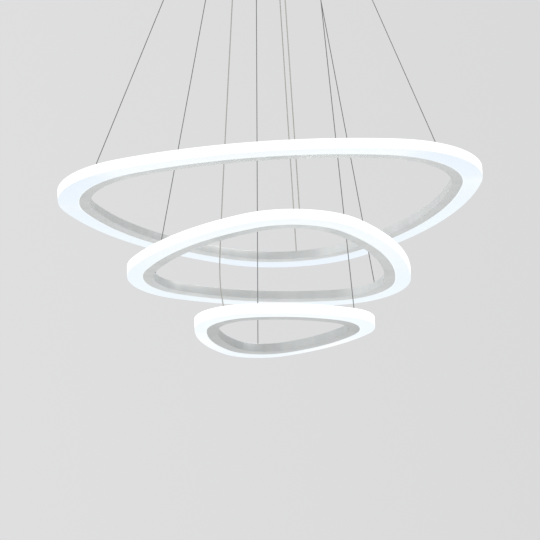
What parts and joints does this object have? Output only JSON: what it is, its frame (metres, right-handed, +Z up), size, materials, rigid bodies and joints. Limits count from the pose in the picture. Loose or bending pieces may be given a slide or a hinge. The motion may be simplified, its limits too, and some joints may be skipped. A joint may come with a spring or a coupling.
{
  "type": "led ring chandelier",
  "caption": "Pendant light of lit rounded-triangle rings in different sizes, hung one under another on thin wires from a round ceiling canopy.",
  "frame": {"origin": "centre of the canopy on the ceiling plane", "axes": "+Z up into the ceiling, -Y towards the viewer of the picture, +X to that viewer's right; the lamp hangs in -Z"},
  "size_m": [0.7441, 0.7293, 0.8436],
  "materials": {
    "satin_aluminium": "satin anodised",
    "opal_acrylic": "milky, lit from inside",
    "light_strip": "white tape with yellow chips",
    "steel_wire": "stranded steel wire",
    "cable_sheath": "thin grey sheath",
    "canopy_paint": "satin silver-white paint",
    "zinc_plated_steel": "zinc plated",
    "nickel_plated": "satin nickel",
    "spring_steel": "bright spring steel",
    "terminal_plastic": "natural nylon",
    "driver_plastic": "white moulded case",
    "earth_brass": "plain brass"
  },
  "bodies": {
    "canopy": {"ceiling_bracket": "zinc_plated_steel", "canopy_shell": "canopy_paint", "canopy_side_screws": "nickel_plated", "terminal_block": "terminal_plastic", "terminal_screws": "zinc_plated_steel", "earth_terminal": "earth_brass", "driver_screws": "zinc_plated_steel", "driver_output_leads": "cable_sheath", "driver_big": "driver_plastic", "driver_middle": "driver_plastic", "driver_small": "driver_plastic", "gripper_bodies": "nickel_plated", "gripper_lock_nuts": "nickel_plated", "plunger_spring_big_a": "spring_steel", "plunger_spring_big_b": "spring_steel", "plunger_spring_big_c": "spring_steel", "plunger_spring_middle_a": "spring_steel", "plunger_spring_middle_b": "spring_steel", "plunger_spring_middle_c": "spring_steel", "plunger_spring_small_a": "spring_steel", "plunger_spring_small_b": "spring_steel", "plunger_spring_small_c": "spring_steel"},
    "ring_big": {"frame_big": "satin_aluminium", "diffuser_big": "opal_acrylic", "led_strip_big": "light_strip", "wire_anchors_big": "nickel_plated", "anchor_nuts_big": "nickel_plated", "splice_big": "zinc_plated_steel", "supply_cable_big_a": "cable_sheath", "suspension_wire_big_b": "steel_wire", "suspension_wire_big_c": "steel_wire"},
    "ring_middle": {"frame_middle": "satin_aluminium", "diffuser_middle": "opal_acrylic", "led_strip_middle": "light_strip", "wire_anchors_middle": "nickel_plated", "anchor_nuts_middle": "nickel_plated", "splice_middle": "zinc_plated_steel", "supply_cable_middle_a": "cable_sheath", "suspension_wire_middle_b": "steel_wire", "suspension_wire_middle_c": "steel_wire"},
    "ring_small": {"frame_small": "satin_aluminium", "diffuser_small": "opal_acrylic", "led_strip_small": "light_strip", "wire_anchors_small": "nickel_plated", "anchor_nuts_small": "nickel_plated", "splice_small": "zinc_plated_steel", "suspension_wire_small_a": "steel_wire", "supply_cable_small_b": "cable_sheath", "suspension_wire_small_c": "steel_wire"},
    "plunger_big_a": {"plunger_big_a": "nickel_plated"},
    "plunger_big_b": {"plunger_big_b": "nickel_plated"},
    "plunger_big_c": {"plunger_big_c": "nickel_plated"},
    "plunger_middle_a": {"plunger_middle_a": "nickel_plated"},
    "plunger_middle_b": {"plunger_middle_b": "nickel_plated"},
    "plunger_middle_c": {"plunger_middle_c": "nickel_plated"},
    "plunger_small_a": {"plunger_small_a": "nickel_plated"},
    "plunger_small_b": {"plunger_small_b": "nickel_plated"},
    "plunger_small_c": {"plunger_small_c": "nickel_plated"}
  },
  "joints": [
    {"name": "big_ring_height", "type": "slide", "parent": "canopy", "child": "ring_big", "axis": [0, 0, 1], "range_m": [-0.03, 0.2], "deforming": ["supply_cable_big_a", "suspension_wire_big_b", "suspension_wire_big_c"]},
    {"name": "middle_ring_height", "type": "slide", "parent": "canopy", "child": "ring_middle", "axis": [0, 0, 1], "range_m": [-0.04, 0.04], "deforming": ["supply_cable_middle_a", "suspension_wire_middle_b", "suspension_wire_middle_c"]},
    {"name": "small_ring_height", "type": "slide", "parent": "canopy", "child": "ring_small", "axis": [0, 0, 1], "range_m": [-0.4, 0.04], "deforming": ["suspension_wire_small_a", "supply_cable_small_b", "suspension_wire_small_c"]},
    {"name": "release_big_a", "type": "slide", "parent": "canopy", "child": "plunger_big_a", "axis": [0, 0, 1], "range_m": [0, 0.0025], "stiffness_N_per_m": 400, "springref_m": -0.002, "deforming": ["plunger_spring_big_a"]},
    {"name": "release_big_b", "type": "slide", "parent": "canopy", "child": "plunger_big_b", "axis": [0, 0, 1], "range_m": [0, 0.0025], "stiffness_N_per_m": 400, "springref_m": -0.002, "deforming": ["plunger_spring_big_b"]},
    {"name": "release_big_c", "type": "slide", "parent": "canopy", "child": "plunger_big_c", "axis": [0, 0, 1], "range_m": [0, 0.0025], "stiffness_N_per_m": 400, "springref_m": -0.002, "deforming": ["plunger_spring_big_c"]},
    {"name": "release_middle_a", "type": "slide", "parent": "canopy", "child": "plunger_middle_a", "axis": [0, 0, 1], "range_m": [0, 0.0025], "stiffness_N_per_m": 400, "springref_m": -0.002, "deforming": ["plunger_spring_middle_a"]},
    {"name": "release_middle_b", "type": "slide", "parent": "canopy", "child": "plunger_middle_b", "axis": [0, 0, 1], "range_m": [0, 0.0025], "stiffness_N_per_m": 400, "springref_m": -0.002, "deforming": ["plunger_spring_middle_b"]},
    {"name": "release_middle_c", "type": "slide", "parent": "canopy", "child": "plunger_middle_c", "axis": [0, 0, 1], "range_m": [0, 0.0025], "stiffness_N_per_m": 400, "springref_m": -0.002, "deforming": ["plunger_spring_middle_c"]},
    {"name": "release_small_a", "type": "slide", "parent": "canopy", "child": "plunger_small_a", "axis": [0, 0, 1], "range_m": [0, 0.0025], "stiffness_N_per_m": 400, "springref_m": -0.002, "deforming": ["plunger_spring_small_a"]},
    {"name": "release_small_b", "type": "slide", "parent": "canopy", "child": "plunger_small_b", "axis": [0, 0, 1], "range_m": [0, 0.0025], "stiffness_N_per_m": 400, "springref_m": -0.002, "deforming": ["plunger_spring_small_b"]},
    {"name": "release_small_c", "type": "slide", "parent": "canopy", "child": "plunger_small_c", "axis": [0, 0, 1], "range_m": [0, 0.0025], "stiffness_N_per_m": 400, "springref_m": -0.002, "deforming": ["plunger_spring_small_c"]}
  ]
}
